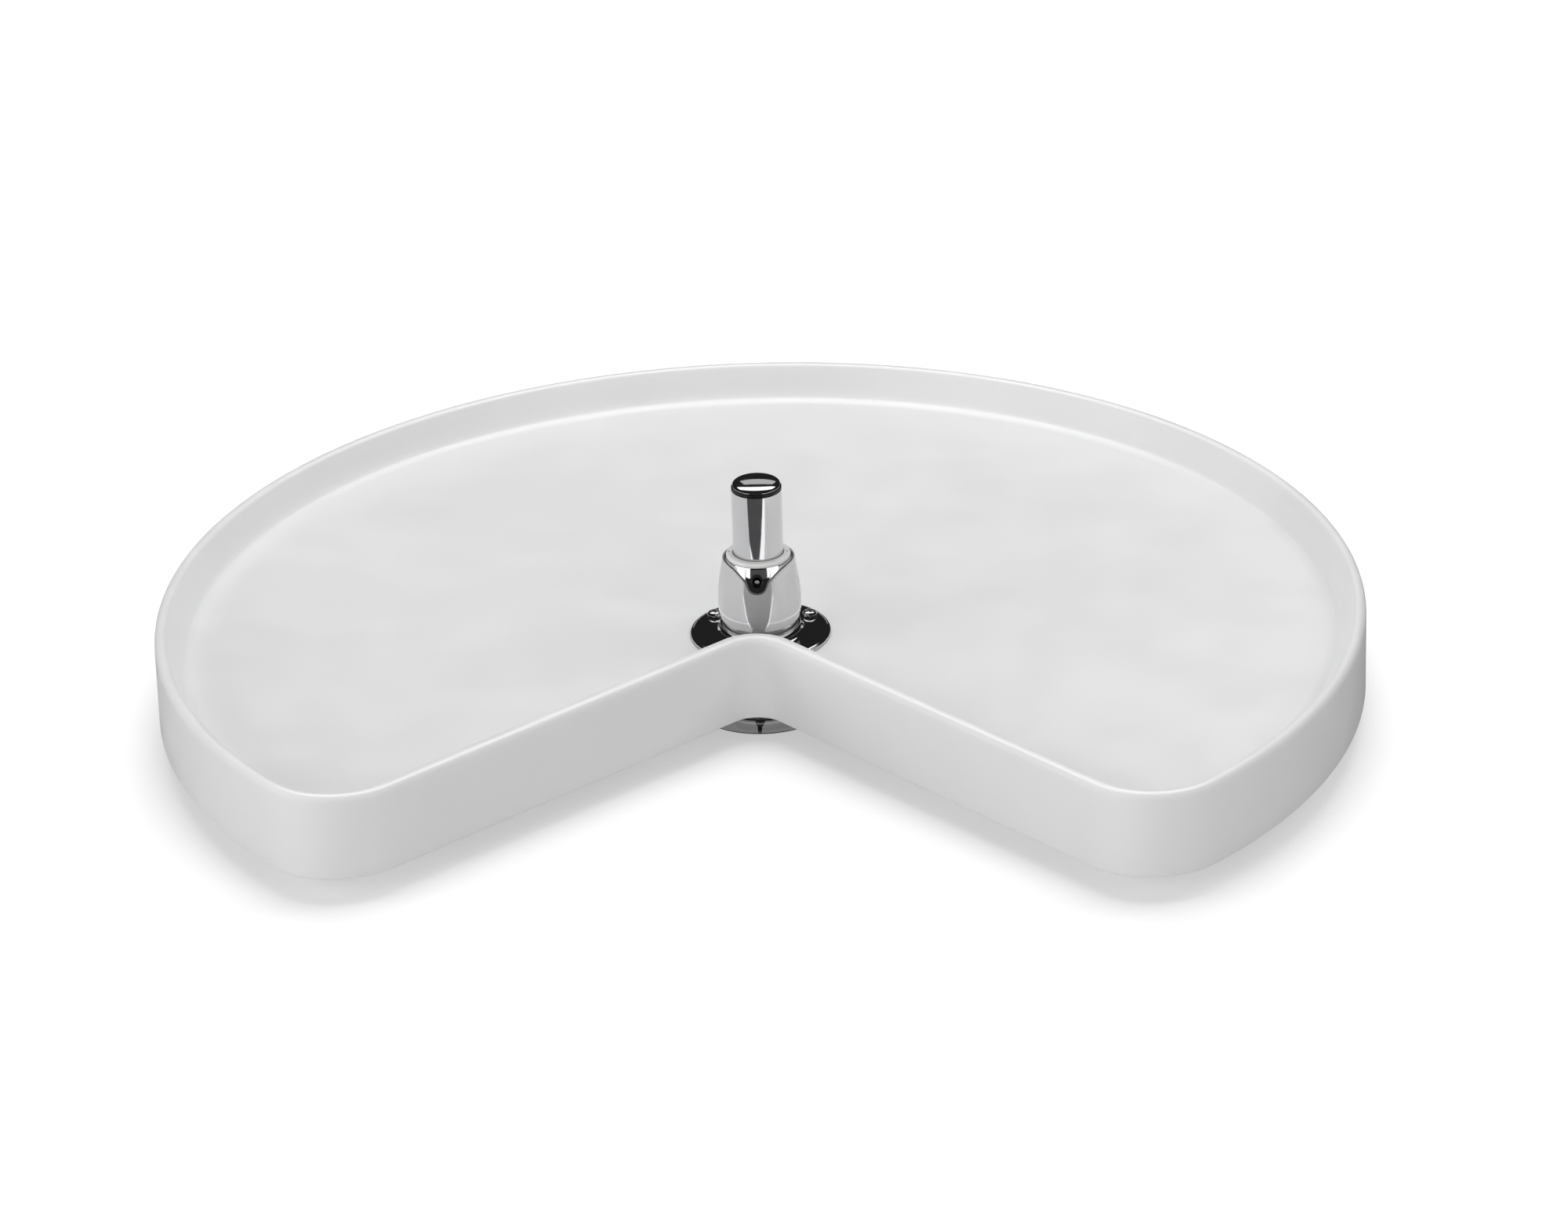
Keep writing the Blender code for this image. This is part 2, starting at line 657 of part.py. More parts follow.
def main():
    clear_scene()
    parts = new_collection("lazy_susan_turntable")
    cutters = new_collection("cutters")
    finish = make_materials()

    foot_disc(parts, cutters, finish["chrome"])
    lower_race(parts, finish["steel"])
    pivot_stud(parts, finish["steel"])
    retaining_clip(parts, cutters, finish["steel"])
    ball_cage(parts, cutters, finish["nylon"])
    bearing_balls(parts, finish["steel"])

    post_foot(parts, cutters, finish["steel"])
    pivot_bush(parts, finish["nylon"])
    foot_pin(parts, finish["steel"])
    post_tube(parts, cutters, finish["chrome"])
    cap_plug(parts, finish["black"])
    post_cap(parts, finish["chrome"])

    shelf_tray(parts, cutters, finish["tray"])
    shelf_flange(parts, cutters, finish["chrome"])
    backing_flange(parts, cutters, finish["steel"])
    lower_bush(parts, finish["nylon"])
    flange_screws(parts, cutters, finish["chrome"])
    hub_bush(parts, cutters, finish["nylon"])
    clamp_collar(parts, cutters, finish["chrome"])
    clamp_screw(parts, cutters, finish["oxide"])
    hub_shroud(parts, cutters, finish["satin"])


main()
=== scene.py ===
"""The looks of the kidney-shaped corner-cabinet turntable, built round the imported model.

Shapes are given in millimetres and scaled by MM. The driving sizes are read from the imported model's nodes.
"""

from math import atan2, cos, pi, radians, sin, sqrt

import bmesh
import bpy
from mathutils import Matrix, Vector
from mathutils.geometry import interpolate_bezier


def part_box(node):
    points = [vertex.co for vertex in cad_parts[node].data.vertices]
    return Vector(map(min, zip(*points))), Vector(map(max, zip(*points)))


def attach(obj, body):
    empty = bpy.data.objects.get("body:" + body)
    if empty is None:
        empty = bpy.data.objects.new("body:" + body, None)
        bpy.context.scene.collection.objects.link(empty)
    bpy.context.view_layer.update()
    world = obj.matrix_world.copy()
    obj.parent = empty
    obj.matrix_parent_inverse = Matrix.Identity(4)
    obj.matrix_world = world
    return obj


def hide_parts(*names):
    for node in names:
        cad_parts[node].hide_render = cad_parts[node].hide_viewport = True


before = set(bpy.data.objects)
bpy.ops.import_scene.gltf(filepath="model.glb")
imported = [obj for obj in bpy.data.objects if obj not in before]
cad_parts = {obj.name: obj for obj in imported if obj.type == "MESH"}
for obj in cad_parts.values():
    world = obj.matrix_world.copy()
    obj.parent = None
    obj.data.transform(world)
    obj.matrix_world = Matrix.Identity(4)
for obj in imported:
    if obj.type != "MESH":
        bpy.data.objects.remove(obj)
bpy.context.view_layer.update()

MM = 0.001

# Camera: where it stands, and how far it is turned, tipped down and rolled, in degrees.
CAMERA_PLACE = (0.1977, -3.2269, 1.5901)
CAMERA_TURN = -3.29
CAMERA_TIP = 25.377
CAMERA_ROLL = -1.691
CAMERA_LENS = 162.96

# Tray, in millimetres from its lower edge upwards and from its outline inwards.
NOTCH_HALF_ANGLE = radians(45)
NOTCH_FRONT = 36.94
APEX_R = 14.99
CORNER_R = 40.4
SKIRT = 2.6
ROUND_LIP = 7.2
NOTCH_LIP = 8.4
ROUND_FOOT = 20.5
NOTCH_FOOT = 7.2
ROUND_UNDER = 18.0
NOTCH_UNDER = 5.4
FLOOR_TOP = 26.7
FLOOR_THICK = 3.0
HUB_HOLE_R = 16.5
SEAT_R = 35.8
SEAT_DEPTH = 0.2
RIB_THICK = 1.8
RIB_RISE = 2.0
RIB_ROOT = 0.8
RIB_RINGS = (152.0, 228.0)
HUB_WALL_R = 41.0
RIB_COUNT = 32

# Flange screws: their circle, their places round it and the turn of their crosses, in degrees.
SCREW_PITCH_R = 29.0
SCREW_ANGLES = (33.5, 146.5, 270.0)
SCREW_CROSS_TURN = 20

# Studio: the floor's glow for the camera, the point the lights aim at and the plane of the dark panel of
# painted shade in front of the hub.
FLOOR_GLOW = 0.42
LIGHT_AIM = Vector((0, 0, 0.05))
SHADE_PANEL_DEPTH = -27

# Meshes: steps round a fillet, angles in degrees above which edges stay crisp, and merge distances in metres.
FILLET_STEPS = 5
CRISP = 35
LOFT_CRISP = 30
SWEEP_MERGE = 0.000002
WELD_MERGE = 0.000005


def span(node):
    """Radius, lowest and highest height of a turned node, in millimetres."""
    low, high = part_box(node)
    return high.x / MM, low.z / MM, high.z / MM


TRAY_R, TRAY_LOW, TRAY_HIGH = span("shelf_tray")
TRAY_HEIGHT = TRAY_HIGH - TRAY_LOW


# ---------------------------------------------------------------- materials


class Shader:
    """A Principled material and the few node helpers that the finishes below share."""

    def __init__(self, name, colour, roughness, metallic=0.0, **sockets):
        self.material = bpy.data.materials.new(name)
        self.material.use_nodes = True
        self.nodes = self.material.node_tree.nodes
        self.links = self.material.node_tree.links
        self.surface = self.nodes["Principled BSDF"]
        self.set("Base Color", (*colour, 1.0))
        self.set("Roughness", roughness)
        self.set("Metallic", metallic)
        for socket, value in sockets.items():
            self.set(socket.replace("_", " "), value)
        self.place = self.nodes.new("ShaderNodeTexCoord").outputs["Object"]

    def set(self, socket, value):
        self.surface.inputs[socket].default_value = value

    def noise(self, scale, detail, stretch=None):
        """A noise pattern in the object's own metres; stretch squeezes it along an axis."""
        node = self.nodes.new("ShaderNodeTexNoise")
        node.inputs["Scale"].default_value = scale
        node.inputs["Detail"].default_value = detail
        source = self.place
        if stretch:
            mapping = self.nodes.new("ShaderNodeMapping")
            mapping.inputs["Scale"].default_value = stretch
            self.links.new(source, mapping.inputs["Vector"])
            source = mapping.outputs["Vector"]
        self.links.new(source, node.inputs["Vector"])
        return node.outputs["Fac"]

    def ramp(self, source, low, high):
        """Two colours or greys across the middle of a pattern."""
        node = self.nodes.new("ShaderNodeValToRGB")
        for stop, place, value in zip(node.color_ramp.elements, (0.35, 0.65), (low, high)):
            stop.position = place
            stop.color = (*value, 1.0) if isinstance(value, tuple) else (value, value, value, 1.0)
        self.links.new(source, node.inputs["Fac"])
        return node.outputs["Color"]

    def vary(self, socket, source, low, high):
        self.links.new(self.ramp(source, low, high), self.surface.inputs[socket])

    def bump(self, source, distance, strength, over=None):
        node = self.nodes.new("ShaderNodeBump")
        node.inputs["Distance"].default_value = distance
        node.inputs["Strength"].default_value = strength
        self.links.new(source, node.inputs["Height"])
        if over is not None:
            self.links.new(over, node.inputs["Normal"])
        self.links.new(node.outputs["Normal"], self.surface.inputs["Normal"])
        return node.outputs["Normal"]


def white_plastic():
    """Moulded white plastic: a fine even grain, faint flow clouds and a soft gloss."""
    s = Shader("white_plastic", (0.86, 0.86, 0.86), 0.34, IOR=1.46)
    s.vary("Base Color", s.noise(7.0, 3.0), (0.845, 0.846, 0.85), (0.875, 0.875, 0.876))
    s.vary("Roughness", s.noise(38.0, 4.0), 0.30, 0.40)
    ripple = s.bump(s.noise(16.0, 1.0), 0.0004, 0.25)
    s.bump(s.noise(1500.0, 2.0), 0.00003, 0.5, over=ripple)
    return s.material


def chrome():
    """Bright plate: almost a mirror, with a very faint orange peel and hazy patches."""
    s = Shader("chrome", (0.72, 0.72, 0.73), 0.05, 1.0)
    s.vary("Roughness", s.noise(120.0, 4.0), 0.035, 0.085)
    s.vary("Base Color", s.noise(60.0, 2.0), (0.71, 0.71, 0.72), (0.735, 0.735, 0.745))
    s.bump(s.noise(260.0, 2.0), 0.00002, 0.25)
    return s.material


def silver_plate():
    """Silver plated moulding: part mirror, part milky."""
    s = Shader("silver_plate", (0.66, 0.66, 0.67), 0.12, 0.5)
    s.vary("Roughness", s.noise(90.0, 4.0), 0.10, 0.16)
    s.vary("Base Color", s.noise(50.0, 3.0), (0.65, 0.65, 0.66), (0.675, 0.675, 0.68))
    s.bump(s.noise(420.0, 2.0), 0.00002, 0.3)
    return s.material


def zinc_steel():
    """Turned and pressed steel with fine circular tool marks and a dull zinc bloom."""
    s = Shader("zinc_steel", (0.56, 0.56, 0.57), 0.3, 1.0)
    s.vary("Base Color", s.noise(140.0, 4.0), (0.5, 0.5, 0.52), (0.62, 0.62, 0.62))
    s.vary("Roughness", s.noise(300.0, 3.0), 0.24, 0.40)
    s.bump(s.noise(60.0, 3.0, stretch=(1.0, 1.0, 40.0)), 0.00004, 0.4)
    return s.material


def white_nylon():
    """Natural nylon: waxy, slightly milky and a touch uneven."""
    s = Shader("white_nylon", (0.82, 0.82, 0.81), 0.42)
    s.vary("Base Color", s.noise(110.0, 3.0), (0.79, 0.79, 0.78), (0.85, 0.85, 0.84))
    s.vary("Roughness", s.noise(200.0, 3.0), 0.34, 0.48)
    s.bump(s.noise(700.0, 2.0), 0.00003, 0.4)
    return s.material


def black_plastic():
    s = Shader("black_plastic", (0.012, 0.012, 0.012), 0.32)
    s.vary("Base Color", s.noise(200.0, 2.0), (0.009, 0.009, 0.009), (0.018, 0.018, 0.018))
    s.vary("Roughness", s.noise(400.0, 3.0), 0.26, 0.42)
    s.bump(s.noise(1200.0, 2.0), 0.00003, 0.5)
    return s.material


def black_oxide():
    """Oiled black steel with a faint bluish bloom."""
    s = Shader("black_oxide", (0.03, 0.03, 0.032), 0.3, 1.0)
    s.vary("Base Color", s.noise(400.0, 3.0), (0.022, 0.022, 0.024), (0.042, 0.042, 0.045))
    s.vary("Roughness", s.noise(600.0, 3.0), 0.24, 0.38)
    s.bump(s.noise(900.0, 2.0), 0.00002, 0.4)
    return s.material


def floor_finish():
    """White floor; a glow that only the camera sees burns it out, as in a lit studio sweep."""
    s = Shader("studio_floor", (0.8, 0.8, 0.8), 0.6, Emission_Color=(1, 1, 1, 1))
    s.vary("Base Color", s.noise(1.5, 2.0), (0.795, 0.795, 0.795), (0.805, 0.805, 0.805))
    path = s.nodes.new("ShaderNodeLightPath")
    glow = s.nodes.new("ShaderNodeMath")
    glow.operation = "MULTIPLY"
    glow.inputs[1].default_value = FLOOR_GLOW
    s.links.new(path.outputs["Is Camera Ray"], glow.inputs[0])
    s.links.new(glow.outputs[0], s.surface.inputs["Emission Strength"])
    return s.material


# ---------------------------------------------------------------- shape helpers


def add_object(name, mesh, material=None):
    made = bpy.data.objects.new(name, mesh)
    bpy.context.scene.collection.objects.link(made)
    if material:
        mesh.materials.clear()
        mesh.materials.append(material)
    return made


def mesh_of(name, grid):
    mesh = bpy.data.meshes.new(name)
    grid.to_mesh(mesh)
    grid.free()
    return mesh


def smooth(mesh, angle):
    """Smooth shading, with edges sharper than the angle kept crisp."""
    mesh.shade_smooth()
    mesh.set_sharp_from_angle(angle=radians(angle))


def freeze(made, angle):
    """The object's evaluated shape becomes its own mesh, with its modifiers gone."""
    bpy.context.view_layer.update()
    seen = made.evaluated_get(bpy.context.evaluated_depsgraph_get())
    mesh = bpy.data.meshes.new_from_object(seen)
    mesh.name = made.name
    made.modifiers.clear()
    made.data = mesh
    smooth(mesh, angle)
    return made


def filleted(points):
    """A profile whose points may carry a third number, the radius that rounds that corner."""
    found = []
    count = len(points)
    for i, point in enumerate(points):
        here = Vector(point[:2])
        size = point[2] if len(point) > 2 else 0
        if not size:
            found.append(tuple(here))
            continue
        before = Vector(points[i - 1][:2]) - here
        after = Vector(points[(i + 1) % count][:2]) - here
        half = before.angle(after) / 2
        run = min(size / abs(sin(half) / cos(half)), before.length * 0.49, after.length * 0.49)
        radius = run * abs(sin(half) / cos(half))
        start = here + before.normalized() * run
        end = here + after.normalized() * run
        centre = here + (before.normalized() + after.normalized()).normalized() * (radius / sin(half))
        first = start - centre
        last = end - centre
        turn = first.angle_signed(last)
        for j in range(FILLET_STEPS + 1):
            part = first.copy()
            part.rotate(Matrix.Rotation(-turn * j / FILLET_STEPS, 2))
            found.append(tuple(centre + part))
    return found


def turned(name, profile, material, segments, closed=True):
    """A profile of (radius, height) points, run down its outer side, swept round the post's axis."""
    mesh = bpy.data.meshes.new(name)
    points = [(r * MM, 0, z * MM) for r, z in filleted(profile)]
    count = len(points)
    mesh.from_pydata(points, [(i, (i + 1) % count) for i in range(count if closed else count - 1)], [])
    made = add_object(name, mesh, material)
    sweep = made.modifiers.new("sweep", "SCREW")
    sweep.steps = segments
    sweep.render_steps = segments
    sweep.use_merge_vertices = True
    sweep.merge_threshold = SWEEP_MERGE
    return freeze(made, CRISP)


def cylinder(name, radius, low, high, segments):
    grid = bmesh.new()
    wide = radius * MM
    depth = (high - low) * MM
    bmesh.ops.create_cone(grid, cap_ends=True, segments=segments, radius1=wide, radius2=wide, depth=depth)
    bmesh.ops.translate(grid, verts=grid.verts, vec=(0, 0, (low + high) / 2 * MM))
    return add_object(name, mesh_of(name, grid))


def box(name, size, centre):
    grid = bmesh.new()
    bmesh.ops.create_cube(grid, size=1)
    bmesh.ops.scale(grid, verts=grid.verts, vec=Vector(size) * MM)
    bmesh.ops.translate(grid, verts=grid.verts, vec=Vector(centre) * MM)
    return add_object(name, mesh_of(name, grid))


def combine(made, tool, operation="DIFFERENCE", angle=CRISP):
    """Cuts or joins at once and throws the tool away."""
    step = made.modifiers.new("combine", "BOOLEAN")
    step.operation = operation
    step.solver = "EXACT"
    step.object = tool
    freeze(made, angle)
    bpy.data.objects.remove(tool)
    return made


def soften(made, width, segments, limit):
    """Small rounded edges where two faces meet more sharply than limit, in degrees."""
    step = made.modifiers.new("soften", "BEVEL")
    step.width = width * MM
    step.segments = segments
    step.limit_method = "ANGLE"
    step.angle_limit = radians(limit)
    step.miter_outer = "MITER_ARC"
    return freeze(made, CRISP)


def around_axis(made, radius, angle, turn=0):
    """Stands a piece at this radius and angle round the post and fixes it there."""
    place = Matrix.Translation(Vector((radius * cos(radians(angle)), radius * sin(radians(angle)), 0)) * MM)
    made.data.transform(place @ Matrix.Rotation(radians(angle + turn), 4, "Z"))
    return made


def lofted(name, rings, material=None, closed=True):
    """Faces between successive rings of points; a closed loft joins the last ring to the first."""
    grid = bmesh.new()
    loops = [[grid.verts.new(p) for p in ring] for ring in rings]
    count = len(loops[0])
    pairs = list(zip(loops, loops[1:] + loops[:1])) if closed else list(zip(loops, loops[1:]))
    for low, high in pairs:
        for i in range(count):
            j = (i + 1) % count
            grid.faces.new((low[i], low[j], high[j], high[i]))
    if not closed:
        grid.faces.new(list(reversed(loops[0])))
        grid.faces.new(loops[-1])
    bmesh.ops.recalc_face_normals(grid, faces=grid.faces)
    mesh = mesh_of(name, grid)
    smooth(mesh, LOFT_CRISP)
    return add_object(name, mesh, material)


def stands_for(made, node, body):
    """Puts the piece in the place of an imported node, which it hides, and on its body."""
    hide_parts(node)
    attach(made, body)
    return made


# ---------------------------------------------------------------- tray


def corner_centre():
    """Centre of the rounded tip of the right arm."""
    across = Vector((cos(NOTCH_HALF_ANGLE), sin(NOTCH_HALF_ANGLE)))
    along = Vector((sin(NOTCH_HALF_ANGLE), -cos(NOTCH_HALF_ANGLE)))
    offset = CORNER_R - NOTCH_FRONT * sin(NOTCH_HALF_ANGLE)
    reach = sqrt((TRAY_R - CORNER_R) ** 2 - offset**2)
    return across * offset + along * reach


def arc(centre, radius, start, end, steps):
    """Points and outward normals along an arc, the start left out."""
    found = []
    for i in range(1, steps + 1):
        angle = start + (end - start) * i / steps
        way = Vector((cos(angle), sin(angle)))
        found.append((centre + way * radius, way))
    return found


def half_outline():
    """The right half of the outline as (point, normal, share of the round side's section)."""
    apex = Vector((0, -NOTCH_FRONT - APEX_R / sin(NOTCH_HALF_ANGLE)))
    tip = corner_centre()
    apex_end = pi / 2 - NOTCH_HALF_ANGLE
    entries = [(apex + Vector((0, APEX_R)), Vector((0, -1)), 0.0)]
    entries += [(p, -n, 0.0) for p, n in arc(apex, APEX_R, pi / 2, apex_end, 12)]
    edge_normal = -Vector((cos(apex_end), sin(apex_end)))
    edge_start = entries[-1][0]
    edge_end = tip + edge_normal * CORNER_R
    entries += [(edge_start.lerp(edge_end, i / 24), edge_normal, 0.0) for i in range(1, 25)]
    tip_turn = atan2(tip.y, tip.x)
    rounded = arc(tip, CORNER_R, apex_end - pi, tip_turn, 24)
    for i, (p, n) in enumerate(rounded, 1):
        share = i / len(rounded)
        entries.append((p, n, share * share * (3 - 2 * share)))
    centre = Vector((0, 0))
    entries += [(p, n, 1.0) for p, n in arc(centre, TRAY_R, tip_turn, 0, 28)]
    entries += [(p, n, 1.0) for p, n in arc(centre, TRAY_R, 0, pi / 2, 60)]
    return entries


def full_outline():
    right = half_outline()
    flip = Vector((-1, 1))
    return right + [(p * flip, n * flip, share) for p, n, share in reversed(right[1:-1])]


def curve_through(*knots, steps=6):
    """Points along successive cubic pieces, each given as four (inset, height) controls."""
    points = [Vector(knots[0][0])]
    for knot in knots:
        points += interpolate_bezier(*[Vector(k) for k in knot], steps + 1)[1:]
    return [(p.x, p.y) for p in points]


def tray_section(lip_in, foot_in, foot_rise):
    """The tray's section from the skirt's lower edge, over the lip and down to the floor.

    lip_in is how far in the lip's inner edge lies, foot_in where the bowl's wall meets the floor, and
    foot_rise how high up the wall its hollow foot begins.
    """
    top = TRAY_HEIGHT
    floor = FLOOR_TOP
    run = foot_in - lip_in
    middle = (lip_in + run * 0.52, floor + foot_rise * 0.32)
    return curve_through(
        ((0.7, 0.0), (0.3, 0.0), (0.0, 0.3), (0.0, 0.7)),
        ((0.0, 0.7), (0.0, 12.0), (0.0, 26.0), (0.0, top - 4.2)),
        ((0.0, top - 4.2), (0.0, top - 1.6), (1.5, top), (3.7, top)),
        ((3.7, top), (lip_in - 1.9, top), (lip_in - 0.7, top - 0.9), (lip_in, top - 2.9)),
        (
            (lip_in, top - 2.9),
            (lip_in + run * 0.16, top - 5.6),
            (lip_in + run * 0.22, floor + foot_rise),
            middle,
        ),
        (
            middle,
            (lip_in + run * 0.66, floor + foot_rise * 0.13),
            (lip_in + run * 0.84, floor),
            (foot_in, floor),
        ),
    )


def underside_section(foot_in, wall_in, crest_in):
    """Back of the bowl and inner side of the skirt, from the floor outwards and down."""
    under = FLOOR_TOP - FLOOR_THICK
    crest = TRAY_HEIGHT - 4.8
    return [
        (foot_in, under),
        (foot_in * 0.62 + wall_in * 0.38, under + 1.5),
        (wall_in, under + 4.6),
        (crest_in + (wall_in - crest_in) * 0.4, crest - 4.0),
        (crest_in, crest),
        (SKIRT, crest),
        (SKIRT, 20.0),
        (SKIRT, 0.4),
        (SKIRT - 0.3, 0.0),
    ]


def tray_ring(outline, round_side, notch_side):
    """One ring of the loft, from a point of each section."""
    ring = []
    for point, normal, share in outline:
        inset = notch_side[0] + (round_side[0] - notch_side[0]) * share
        height = notch_side[1] + (round_side[1] - notch_side[1]) * share
        spot = point - normal * inset
        ring.append((spot.x * MM, spot.y * MM, (TRAY_LOW + height) * MM))
    return ring


def floor_rings(outline, foot, height, radius, steps):
    """Rings that close in from the foot of the bowl to a circle round the hub, closest near the foot."""
    rings = []
    for step in range(1, steps + 1):
        share = (step / steps) ** 2
        ring = []
        for point, normal, kind in outline:
            start = point - normal * (foot[1] + (foot[0] - foot[1]) * kind)
            spot = start.lerp(start.normalized() * radius, share)
            ring.append((spot.x * MM, spot.y * MM, (TRAY_LOW + height) * MM))
        rings.append(ring)
    return rings


def tray_ribs(outline):
    """Rings and spokes under the tray, trimmed to its outline."""
    low = TRAY_LOW + RIB_RISE
    high = TRAY_LOW + FLOOR_TOP - FLOOR_THICK + RIB_ROOT
    rings = None
    for outer in (HUB_WALL_R + RIB_THICK, *[r + RIB_THICK for r in RIB_RINGS]):
        profile = [(outer, high), (outer, low), (outer - RIB_THICK, low), (outer - RIB_THICK, high)]
        ring = turned(f"rib_ring_{outer:.0f}", profile, None, segments=96)
        rings = combine(rings, ring, "UNION") if rings else ring
    spokes = bmesh.new()
    for i in range(RIB_COUNT):
        start = HUB_WALL_R + RIB_THICK / 2 if i % 2 == 0 else RIB_RINGS[0] + RIB_THICK / 2
        length = TRAY_R - start
        place = Matrix.Rotation(radians(90 + 360 / RIB_COUNT * (i + 0.5)), 4, "Z")
        place @= Matrix.Translation(Vector((start + length / 2, 0, (low + high) / 2)) * MM)
        place @= Matrix.Diagonal((length * MM, RIB_THICK * MM, (high - low - 0.6) * MM, 1))
        bmesh.ops.create_cube(spokes, size=1, matrix=place)
    combine(rings, add_object("rib_spokes", mesh_of("rib_spokes", spokes)), "UNION")
    middle = (SKIRT / 2, 0)
    trim = [
        [(x, y, z * MM) for x, y, _ in tray_ring(outline, middle, middle)] for z in (low - 1, high + 1)
    ]
    return combine(rings, lofted("rib_trim", trim, closed=False), "INTERSECT")


def make_tray(material):
    outline = full_outline()
    lip_round = tray_section(ROUND_LIP, ROUND_FOOT, 7.0)
    lip_notch = tray_section(NOTCH_LIP, NOTCH_FOOT, 1.6)
    under_round = underside_section(ROUND_UNDER, 10.6, 5.0)
    under_notch = underside_section(NOTCH_UNDER, 4.7, 5.0)
    foot = (ROUND_FOOT, NOTCH_FOOT)
    under = (ROUND_UNDER, NOTCH_UNDER)
    rings = list(reversed(floor_rings(outline, under, FLOOR_TOP - FLOOR_THICK, HUB_HOLE_R, 3)))
    rings += [tray_ring(outline, a, b) for a, b in zip(under_round, under_notch)]
    rings += [tray_ring(outline, a, b) for a, b in zip(lip_round, lip_notch)]
    rings += floor_rings(outline, foot, FLOOR_TOP, SEAT_R, 6)
    rings += floor_rings(outline, foot, FLOOR_TOP - SEAT_DEPTH, SEAT_R, 1)
    rings += floor_rings(outline, foot, FLOOR_TOP - SEAT_DEPTH, HUB_HOLE_R, 1)
    tray = lofted("tray", rings, material)
    combine(tray, tray_ribs(outline), "UNION", LOFT_CRISP)
    return stands_for(tray, "shelf_tray", "hub")


# ---------------------------------------------------------------- post


def make_tube(material):
    radius, low, high = span("post_tube")
    inner = radius - 1.65
    profile = [(radius, high, 0.35), (radius, low, 0.2), (inner, low), (inner, high, 0.2)]
    return stands_for(turned("tube", profile, material, 128), "post_tube", "post")


def make_plug(material):
    """The plug's dark rim stands between the tube and the cap."""
    radius, low, high = span("cap_plug")
    inner = radius - 2.1
    profile = [
        (3.3, high), (radius - 0.1, high, 0.35), (radius, high - 1.1, 0.25), (inner, high - 1.1),
        (inner, low, 0.6), (3.3, low),
    ]
    return stands_for(turned("plug_rim", profile, material, 128), "cap_plug", "post")


def make_cap(material):
    """A shallow dome with a thin rolled lip at its foot, on a stem that enters the plug."""
    radius, low, high = span("post_cap")
    foot = span("cap_plug")[2] + 0.3
    rise = high - foot
    crown = []
    for i in range(21):
        turn = radians(90 - 4.1 * i)
        crown.append((radius * cos(turn) * 0.985, foot + 0.75 + (rise - 0.75) * sin(turn)))
    profile = [
        *crown, (radius - 0.12, foot + 0.62), (radius, foot + 0.42), (radius - 0.02, foot + 0.2),
        (radius - 0.25, foot), (3.0, foot), (3.0, low + 0.8), (2.4, low), (0, low),
    ]
    return stands_for(turned("cap", profile, material, 128, closed=False), "post_cap", "post")


# ---------------------------------------------------------------- hub


def make_bush(material):
    """The nylon ring that shows between the collar and the tube, with its slit and two dimples."""
    radius, low, high = span("hub_bush")
    bore = span("post_tube")[0] + 0.2
    profile = [(bore, high - 0.1, 0.3), (radius - 0.1, high - 0.5, 1.0), (radius, low, 0.2), (bore, low)]
    bush = turned("bush", profile, material, 128)
    combine(bush, box("slit", (1.4, 8, 60), (0, radius - 1.7, 75)))
    for side in (-1, 1):
        pip = cylinder("dimple", 0.7, high - 1.3, high + 1, 20)
        pip.data.transform(Matrix.Translation((side * 14.6 * MM, 0, 0)))
        combine(bush, pip)
    soften(bush, 0.15, 2, 50)
    return stands_for(bush, "hub_bush", "hub")


def clamp_way(name, radius):
    """A round cutter towards the front at the clamp screw's height."""
    low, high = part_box("clamp_screw")
    tool = cylinder(name, radius, 8, 30, 32)
    place = Matrix.Translation((0, 0, (low.z + high.z) / 2)) @ Matrix.Rotation(pi / 2, 4, "X")
    tool.data.transform(place)
    return tool


def make_collar(material):
    radius, low, high = span("clamp_collar")
    bore = span("hub_bush")[0] + 0.3
    profile = [
        (bore + 0.05, high, 0.12), (16.95, high, 0.25), (17.1, high - 0.6, 0.5), (18.75, high - 11.8, 3),
        (radius - 0.05, high - 14), (radius, low, 0.3), (bore, low),
    ]
    collar = turned("collar", profile, material, 128)
    combine(collar, clamp_way("collar_hole", 2.8))
    soften(collar, 0.12, 2, 50)
    return stands_for(collar, "clamp_collar", "hub")


def cross_slots(made, width, slot, depth, centre):
    """Two crossing slots sunk into a screw's face."""
    for size in ((width, slot, depth), (slot, width, depth)):
        combine(made, box("slot", size, centre))


def make_clamp_screw(material):
    """Grub screw with a hexagonal socket; its face points to the front."""
    low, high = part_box("clamp_screw")
    radius = high.x / MM
    length = (high.y - low.y) / MM
    profile = [(0, length), (radius, length, 0.35), (radius, 0, 0.4), (0, 0)]
    screw = turned("clamp_screw_fine", profile, material, 48, closed=False)
    combine(screw, cylinder("socket", 1.45, length - 2.5, length + 1, 6))
    soften(screw, 0.1, 2, 50)
    screw.data.transform(
        Matrix.Translation((0, high.y, (low.z + high.z) / 2)) @ Matrix.Rotation(pi / 2, 4, "X")
    )
    return stands_for(screw, "clamp_screw", "clamp")


def notch_outline():
    """Half of the shroud's swept front opening, seen from the front, from its side to its bottom."""
    knots = (
        ((19.0, 83.6), (15.6, 83.4), (14.4, 83.0), (12.6, 82.2)),
        ((12.6, 82.2), (10.6, 81.0), (9.2, 79.8), (7.2, 78.2)),
        ((7.2, 78.2), (5.6, 76.8), (5.6, 75.6), (4.7, 73.6)),
        ((4.7, 73.6), (3.9, 71.8), (2.4, 70.9), (0.0, 70.9)),
    )
    return curve_through(*knots, steps=12)


